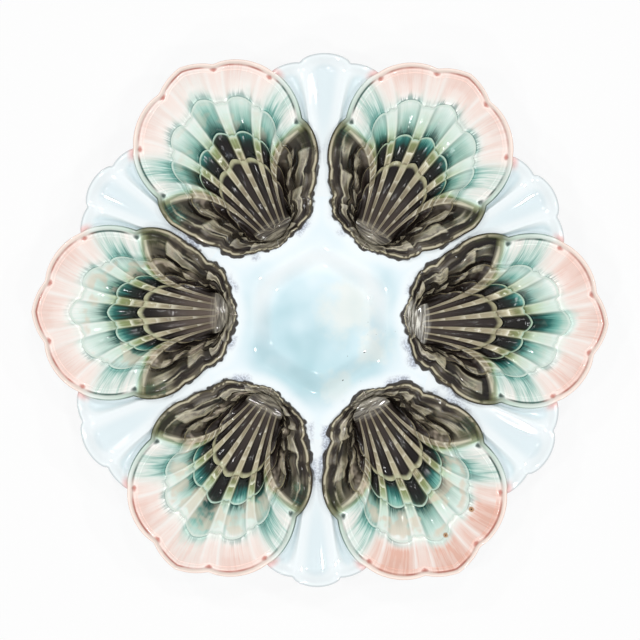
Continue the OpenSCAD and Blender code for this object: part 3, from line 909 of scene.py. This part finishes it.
core_edge = []
for k in range(shells):
    u = np.concatenate([-np.arange(mouth_rib, back_rib, 0.05), np.arange(back_rib, mouth_rib, -0.05)])
    core_edge += [shell_plan(k, u, tuck), cross_row(k, mouth_rib, cross_columns)[:-1]]
core_edge = np.concatenate(core_edge)
core_rows = np.linspace(0, 1, 70)[:, None, None]
parts = [(core_edge * core_rows).reshape(-1, 2)]
dish_faces = [quads(len(core_rows), len(core_edge), closed=True)]
for k in range(shells):
    arm = np.stack([cross_row(k, u, cross_columns) for u in np.linspace(mouth_rib, neck_rib, 26)])
    dish_faces.append(quads(*arm.shape[:2], first=sum(map(len, parts))))
    parts.append(arm.reshape(-1, 2))
dish_plan = np.concatenate(parts)
gap, near_rib = near_shells(dish_plan)
dish_marks = {"gap": gap, "near_rib": near_rib, "relief": 0 * gap, "rim": 0 * gap + 90}
dish = ground_piece("dish", dish_plan, np.concatenate(dish_faces), dish_marks, 0 * gap)

# The ground's form: it climbs from the hinges to the rim, and dips to the six-sided dish.
ground = Shape("ground_form")
spot_x, spot_y = [ground.part(ground.place(), axis) for axis in ("X", "Y")]
spot_r = (spot_x * spot_x + spot_y * spot_y) ** 0.5
climb = ground.math("MAXIMUM", spot_r - ground.size("Climb from", hinge_r), 0)
climb = ground.size("Rim rise", rim_rise) * (climb / ground.size("Climb length", shell_l)) ** 2
corner = 0.0
for k in range(shells):
    way = turned(1, k * pitch)
    along = spot_x * way[0] + spot_y * way[1]
    corner = corner + ground.math("MAXIMUM", along * hexagon_scale, 0) ** hexagon_power
from_middle = corner ** (1 / hexagon_power) / hexagon_scale
side_share = from_middle / ground.size("Dish radius", dish_r)
fall = ground.step(side_share, 1, ground.size("Flat share", dish_floor_share))
fall = fall * ground.size("Dish depth", dish_depth)
beneath = ground.mark("beneath") * ground.size("Wall", wall)
ground_place = ground.size("Ground height", ground_z) + climb - fall + ground.mark("relief") - beneath
ground.end(ground.given("Mesh"), ground.vector(spot_x, spot_y, ground_place))

# Cream clouds in the dish's glaze, right of its middle: where each one lies and how far it reaches.
cream_clouds = [(0.013, 0.006, 0.019), (0.025, -0.014, 0.012), (0.007, -0.030, 0.011)]


def ground_glaze():
    """One pale ice-blue glaze, cloudy in the dish and nearly white near the shells."""
    g = Glaze("ground_glaze")
    gap, near_rib, relief, rim = g.mark("gap"), g.mark("near_rib"), g.mark("relief"), g.mark("rim")
    place = g.place()
    cloud = g.noise(place, 46, 2.0)
    wisp = g.noise(place, 120, 3.0)
    speck = g.noise(place, 520, 0.0)
    x, y = g.part(place, "X"), g.part(place, "Y")
    from_middle = g.math("SQRT", x * x + y * y, 0)
    # The glaze is paler towards +Y.
    g.colour = g.ramp(0.25 + 0.5 * cloud + y * 2.6, [
        (0.38, 176, 210, 218), (0.45, 192, 221, 229), (0.52, 208, 231, 238),
        (0.60, 220, 238, 244), (0.68, 230, 243, 247),
    ])
    for cream_x, cream_y, cream_r in cream_clouds:
        aside, ahead = x - cream_x, y - cream_y
        from_cream = g.math("SQRT", aside * aside + ahead * ahead, 0) + 0.026 * (wisp - 0.5)
        g.lay((244, 240, 230), g.step(from_cream, cream_r, 0.002) * 0.55)
    # Painted light lightens the dish's sloping sides towards +Y, against their shade, and the dish is
    # darker towards -Y.
    sides = g.spot(from_middle, 0.028, 0.009) * g.step(y, -0.016, 0.012)
    g.lay((250, 254, 255), sides * 0.8)
    low_side = g.step(y, -0.004, -0.030) * g.step(from_middle, 0.040, 0.030)
    g.lay((178, 216, 222), low_side * 0.35)
    plain = g.step(from_middle, 0.030, 0.044)
    g.lay(g.blend((222, 239, 246), (240, 248, 251), cloud), plain)
    near = g.step(gap, 7.0, 1.5) * g.step(from_middle, 0.062, 0.050)
    g.lay((243, 249, 251), near * 0.8)
    # In the fans the ridges are nearly white, and each hollow holds a breath of blue.
    fan = g.step(rim, 80, 70)
    g.lay((238, 245, 247), fan)
    g.lay((214, 229, 234), g.step(relief, -0.0006, -0.0022) * 0.75)
    g.lay((184, 194, 196), g.spot(rim, 0.6, 0.7) * 0.6)
    # The shells' brown creeps over their edge, and slate blue runs from it.
    brown_side = g.step(near_rib, 3.0, 3.6)
    creep = g.noise(place, 190, 1.0)
    ragged = gap - 4.4 * (creep - 0.48)
    run = g.step(ragged, 4.2, 1.4) * brown_side * g.step(cloud, 0.48, 0.56)
    run = run * g.step(near_rib, 5.5, 5.0)
    crawl = g.step(g.noise(place, 1100, 1.0), 0.40, 0.56)
    slate = g.blend((200, 210, 226), (106, 114, 140), crawl)
    g.lay(slate, run * 0.65)
    g.lay((46, 40, 35), g.step(ragged, 0.7, 0.2) * brown_side)
    lower_right = g.step(x, 0.004, 0.008) * g.step(y, 0, -0.004) * g.step(from_middle, 0.036, 0.030)
    g.lay((52, 56, 56), g.step(speck, 0.80, 0.83) * lower_right)
    blush = g.step(gap, 3.6, 0.5) * g.step(near_rib, 1.80, 1.6) * g.step(near_rib, 1.2, 1.4)
    g.lay((236, 178, 172), blush * 0.7)
    return g.finish(0.05 + 0.07 * cloud, wisp, ground_ripple, 0.3 + 0.4 * wisp)


pale_glaze = ground_glaze()
ground.run(dish, pale_glaze)
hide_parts("centre_dish")
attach(dish, "root")

# Rim fans
# Between two shells the ground spreads into a small fan with three hollows and a lobed edge. The
# ridges between the hollows are sharp in the mould, so the glaze leaves them nearly white.
fan_reach = 0.0078
fan_notch = 0.0041
side_lobe_share = 0.3
hollow_depth = 0.0024
hollow_from_mm, hollow_fade_mm = 1.6, 6.0
fan_edge_h, fan_edge_mm = 0.0011, 4.5
fan_notch_at = 0.275
fan_columns = 72
shoulder_rib = 1.75
fan_round, under_round = 0.0016, 0.0012
fan_notch_plan = turned(outline(fan_rib, 2) * shell_l, outline(fan_rib, 1)) + [hinge_r, 0]
fan_r = np.linalg.norm(fan_notch_plan) + fan_reach


def fan_edge(start):
    """The fan's outer edge: a broad middle lobe and a flatter one on each side of it."""
    t = np.linspace(0, 1, fan_columns + 1)
    aside = np.minimum(t, 1 - t) / fan_notch_at
    middle = np.clip((t - fan_notch_at) / (1 - 2 * fan_notch_at), 0, 1)
    lobe = np.sqrt(np.sin(np.pi * middle))
    lobe += side_lobe_share * np.sqrt(np.sin(np.pi * np.clip(aside, 0, 1))) * (aside < 1)
    r = np.linalg.norm(start, axis=-1)
    corner = mix(r[0], r[-1], t) + lobe_swell * 0.25
    full = mix(corner, fan_r - fan_notch, np.clip(aside, 0, 1) ** 0.8) + fan_notch * lobe
    return start * (full / r)[:, None]


def fan_relief(plan, edge):
    """Three hollows between ridges that run smoothly from the neck to the edge's notches."""
    middle_way = math.degrees(math.atan2(*plan[0].mean(axis=0)[::-1]))
    ahead, across = turned(1, middle_way), turned(1, middle_way + 90)
    r = np.linalg.norm(plan, axis=-1)
    angle = np.degrees(np.arctan2(plan @ across, plan @ ahead))
    bounds = [np.interp(r, r[:, i], angle[:, i]) for i in (0, -1)]
    s = np.clip((r - r[0].mean()) / (fan_r - r[0].mean()), 0, 1)
    first, last = angle[0], np.degrees(np.arctan2(edge @ across, edge @ ahead))
    ridges = []
    for share in (fan_notch_at, 1 - fan_notch_at):
        low = first[0] + (first[-1] - first[0]) * mix(1 / 3, 2 / 3, share > 0.5)
        high = np.interp(share, np.linspace(0, 1, len(last)), last)
        ridges.append(mix(low, high, s**0.75))
    lines = [bounds[0], ridges[0], ridges[1], bounds[1]]
    curve = np.zeros_like(r)
    for low, high in zip(lines[:-1], lines[1:]):
        wave = (angle - low) / np.where(np.abs(high - low) > 1e-6, high - low, 1)
        curve = np.maximum(curve, np.sin(np.pi * np.clip(wave, 0, 1)) ** 1.4)
    gap = np.linalg.norm(plan.reshape(-1, 1, 2) - edge[None], axis=-1).min(axis=1).reshape(r.shape)
    gap_mm = gap * 1000
    swell = np.sin(np.pi / 2 * np.clip(s / 0.8, 0, 1)) ** 2
    swell = swell * ease((gap_mm - hollow_from_mm) / hollow_fade_mm)
    return -hollow_depth * curve * swell + fan_edge_h * ease(1 - gap_mm / fan_edge_mm), gap


for k in range(shells):
    inner = [cross_row(k, u, fan_columns) for u in np.linspace(neck_rib, shoulder_rib, 54)]
    notches = cross_row(k, fan_rib, fan_columns)
    inner += [mix(inner[-1], notches, t) for t in (0.2, 0.4, 0.6, 0.8, 1.0)]
    edge = fan_edge(inner[-1])
    shares = np.concatenate([np.linspace(0.04, 0.86, 24), np.linspace(0.89, 1, 12)])
    plan_rows = inner + [mix(inner[-1], edge, t) for t in shares]
    plan = np.stack(plan_rows)
    relief, out = fan_relief(plan, edge)
    relief -= rounding(out, fan_round, fan_round)
    plan, relief, out = plan.reshape(-1, 2), relief.ravel(), out.ravel()
    gap, near_rib = near_shells(plan)
    marks = {"gap": gap, "near_rib": near_rib, "relief": relief, "rim": out * 1000}
    under_lift = rounding(out, under_round, under_round)
    faces = quads(len(plan_rows), fan_columns + 1)
    piece = ground_piece(f"fan_{k + 1}", plan, faces, marks, under_lift)
    ground.run(piece, pale_glaze)
    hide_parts(f"rim_fan_{k + 1}")
    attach(piece, "root")

# Foot ring
# The ring that the plate stands on, trimmed round on the wheel. Its glaze is wiped off the base
# before firing, so the buff clay shows there.
foot_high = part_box("foot_ring")[1]
foot_w = 0.0046
clay_grain = 0.00008
swept = Shape("foot_sweep")
counts = {"Size X": 1.0, "Size Y": 1.0, "Vertices X": 361, "Vertices Y": 41}
foot_grid = swept.node("GeometryNodeMeshGrid", {}, counts)
round_way, section_way = [swept.part(swept.place(), axis) * (2 * math.pi) for axis in ("X", "Y")]
width = swept.size("Foot width", foot_w)
height = swept.size("Foot height", foot_h)
squareness = swept.size("Squareness", 0.28)


def squared(operation):
    """The sine or cosine of the way round the section, pressed towards a square."""
    wave = swept.math(operation, section_way, 0)
    return swept.math("SIGN", wave, 0) * abs(wave) ** squareness


upward = squared("SINE")
taper = 1 - swept.size("Taper share", 0.17) * (1 - upward) / 2
ring_r = swept.size("Foot radius", foot_high[0] - foot_w / 2) + squared("COSINE") * taper * width / 2
ring_x = ring_r * swept.math("COSINE", round_way, 0)
ring_y = ring_r * swept.math("SINE", round_way, 0)
swept.end(foot_grid, swept.vector(ring_x, ring_y, height * (upward + 1) / 2))


def foot_glaze():
    g = Glaze("foot_glaze")
    grain = g.noise(g.place(), 900, 4.0)
    low = g.part(g.place(), "Z")
    g.colour = g.blend((206, 190, 160), (208, 228, 232), g.step(low, 0.0004, 0.0011))
    g.lay((150, 138, 116), g.step(grain, 0.62, 0.74) * 0.4)
    wiped = g.step(low, 0.0011, 0.0004)
    return g.finish(0.25 + 0.3 * wiped, grain, clay_grain, 0.3 - 0.3 * wiped)


foot = new_piece("foot", [(0, 0, 0)], [], {})
swept.run(foot, foot_glaze())
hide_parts("foot_ring")
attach(foot, "root")

# Studio
# A white sheet under the plate, a bright even room, and a ring of small lamps that only put
# crisp glints on the glaze, as bright windows round a table would.
half = 3.0
floor_level, room_level, sheet_share = 236, 0.29, 0.86
corners = [(-half, -half, 0), (half, -half, 0), (half, half, 0), (-half, half, 0)]
floor = new_piece("floor", corners, [(0, 1, 2, 3)], {})


class Backdrop(Rule):
    """The floor or the room: white to the eye and in reflections, and dimmer as a light."""

    def __init__(self, tree):
        self.tree = tree

    def seen(self):
        """1 for rays from the camera, in reflections and through glass."""
        rays = ("Is Camera Ray", "Is Glossy Ray", "Is Transmission Ray")
        camera_ray, glossy, through = [self.node("ShaderNodeLightPath", {}, {}, ray) for ray in rays]
        return self.math("MAXIMUM", self.math("MAXIMUM", camera_ray, glossy), through)

    def choose(self, share, first, second):
        return self.node("ShaderNodeMixShader", {}, {0: share, 1: first, 2: second})


floor_material = bpy.data.materials.new("white_sheet")
floor_material.use_nodes = True
sheet = Backdrop(floor_material.node_tree)
matt = Wire(sheet, sheet.tree.nodes["Principled BSDF"].outputs[0])
matt.socket.node.inputs["Base Color"].default_value = paint(*[floor_level] * 3)
matt.socket.node.inputs["Roughness"].default_value = 0.9
glow = sheet.node("ShaderNodeEmission", {}, {"Strength": 1.0})
# The rest of the share keeps the plate's shadow on the sheet.
surface = sheet.choose(sheet.seen() * sheet_share, matt, glow)
sheet.tree.links.new(surface.socket, sheet.tree.nodes["Material Output"].inputs["Surface"])
floor.data.materials.append(floor_material)

world = bpy.data.worlds.new("room")
bpy.context.scene.world = world
world.use_nodes = True
room = Backdrop(world.node_tree)
room.tree.nodes.clear()
bright = room.node("ShaderNodeBackground", {}, {"Strength": 1.0})
soft = room.node("ShaderNodeBackground", {}, {"Strength": room_level})
for light in (bright, soft):
    light.socket.node.inputs["Color"].default_value = (1, 1, 1, 1)
light_seen = room.choose(room.seen(), soft, bright)
room.tree.links.new(light_seen.socket, room.tree.nodes.new("ShaderNodeOutputWorld").inputs["Surface"])

# By turns the lamps stand further out and are brighter, or nearer and dimmer.
lamps, lamp_z, lamp_w, first_turn = 6, 0.95, 0.05, 130
lamp_kinds = [(0.80, 2.3), (0.46, 1.7)]
for i in range(lamps):
    lamp_r, power = lamp_kinds[i % 2]
    lamp_data = bpy.data.lights.new(f"lamp_{i + 1}", "AREA")
    lamp_data.shape = "SQUARE"
    lamp_data.size = lamp_w
    lamp_data.energy = power
    lamp = bpy.data.objects.new(lamp_data.name, lamp_data)
    lamp.location = (*turned(lamp_r, first_turn + 360 * i / lamps), lamp_z)
    lamp.rotation_mode = "QUATERNION"
    lamp.rotation_quaternion = (-lamp.location).to_track_quat("-Z", "Y")
    bpy.context.scene.collection.objects.link(lamp)

# The camera looks straight down, with the plate's +Y towards the picture's top edge.
frame_px, plate_px, plate_w = 640, 576, 0.2565
view_w = plate_w * frame_px / plate_px
camera_data = bpy.data.cameras.new("camera")
camera_data.lens = 85
camera_data.sensor_width = 36
camera = bpy.data.objects.new("camera", camera_data)
rim_z = cad_high[2] - shell_stand
distance = view_w / 2 / math.tan(math.atan(camera_data.sensor_width / 2 / camera_data.lens))
camera.location = (0, 0, rim_z + distance)
bpy.context.scene.collection.objects.link(camera)
bpy.context.scene.camera = camera
bpy.context.scene.view_settings.view_transform = "Standard"
